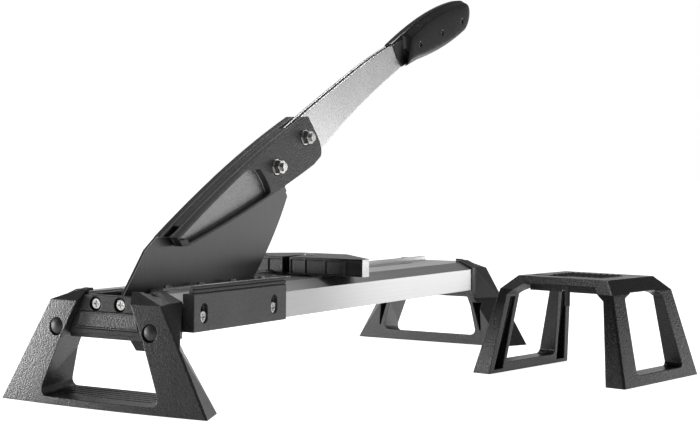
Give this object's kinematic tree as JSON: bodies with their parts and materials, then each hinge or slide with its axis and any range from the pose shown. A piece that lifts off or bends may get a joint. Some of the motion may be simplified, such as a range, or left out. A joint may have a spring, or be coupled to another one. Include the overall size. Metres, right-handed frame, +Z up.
{
  "type": "floor plank and tile guillotine cutter",
  "caption": "Lever guillotine cutter on an aluminium table with two A-shaped feet, a sliding mitre fence, a side support bar and a separate plank stand.",
  "frame": {"origin": "on the floor, in the middle of the front foot's sill", "axes": "+X along the table from the front foot to the rear foot, +Y across the table away from the support bar, +Z up"},
  "size_m": [0.7015, 0.4738, 0.4174],
  "materials": {
    "foot_plastic": "fine textured black polyamide, lightly worn edges",
    "cap_plastic": "fine textured black polyamide",
    "plate_plastic": "coarse grained dark grey plastic",
    "plug_plastic": "smooth black plug",
    "pad_rubber": "soft matt black rubber",
    "table_aluminium": "satin anodised, drawn along its length",
    "guide_steel": "ground steel",
    "screw_steel": "bright zinc plate",
    "screw_dark": "blackened steel",
    "hub_steel": "turned and milled steel",
    "bolt_steel": "bright zinc plate",
    "bar_plastic": "fine textured dark grey plastic",
    "strip_plastic": "satin black plastic",
    "blade_steel": "dark satin coated steel with a ground edge",
    "arm_steel": "satin nickel plated steel sheet",
    "guard_plastic": "textured black plastic",
    "grip_plastic": "satin black plastic",
    "collar_plastic": "smooth dark grey plastic",
    "fence_plastic": "textured black plastic",
    "slider_metal": "die cast, tumbled",
    "wheel_plastic": "satin black plastic",
    "stand_plastic": "fine textured black polyamide",
    "mat_rubber": "dotted soft black rubber",
    "hook_plastic": "smooth dark plastic"
  },
  "bodies": {
    "base": {"front_foot": "foot_plastic", "rear_foot": "foot_plastic", "front_end_cap": "cap_plastic", "rear_end_cap": "cap_plastic", "name_plate": "plate_plastic", "end_cap_screws": "screw_steel", "leg_plugs": "plug_plastic", "foot_pads": "pad_rubber", "table_section": "table_aluminium", "near_blade_guide": "guide_steel", "far_blade_guide": "guide_steel", "guide_screws": "screw_steel", "pivot_cheeks": "hub_steel", "pivot_bolt": "bolt_steel", "pivot_nut": "bolt_steel", "pivot_washers": "bolt_steel", "lever_catch": "plug_plastic", "lever_stop_pad": "pad_rubber", "bar_screws": "screw_steel", "bar_nuts": "bolt_steel"},
    "support_bar": {"support_bar": "bar_plastic", "ribbed_strip": "strip_plastic"},
    "lever": {"blade": "blade_steel", "blade_hub": "hub_steel", "lever_arm": "arm_steel", "near_guard": "guard_plastic", "far_guard": "guard_plastic", "lever_bolts": "bolt_steel", "lever_nuts": "bolt_steel", "lever_washers": "bolt_steel", "near_grip": "grip_plastic", "far_grip": "grip_plastic", "grip_screws": "screw_dark", "grip_collar": "collar_plastic"},
    "fence": {"fence_plate": "fence_plastic", "fence_slider": "slider_metal", "fence_screw": "screw_steel", "clamp_stud": "bolt_steel"},
    "clamp_wheel": {"clamp_wheel": "wheel_plastic"},
    "stand": {"stand_frame": "stand_plastic", "stand_pads": "pad_rubber", "stand_grip_mat": "mat_rubber", "stand_hook": "hook_plastic"}
  },
  "joints": [
    {"name": "lever_pivot", "type": "hinge", "parent": "base", "child": "lever", "pos_m": [0.02, 0, 0.076], "axis": [0, -1, 0], "range_deg": [-16, 40]},
    {"name": "bar_height", "type": "slide", "parent": "base", "child": "support_bar", "axis": [0, 0, 1], "range_m": [-0.006, 0]},
    {"name": "fence_slide", "type": "slide", "parent": "base", "child": "fence", "axis": [1, 0, 0], "range_m": [0, 0.2]},
    {"name": "clamp_turn", "type": "hinge", "parent": "fence", "child": "clamp_wheel", "pos_m": [0.316, 0, 0.06], "axis": [0, 0, 1], "range_deg": [0, 180]},
    {"name": "stand_move", "type": "slide", "parent": "base", "child": "stand", "axis": [0, -1, 0], "range_m": [0, 0.4]}
  ]
}
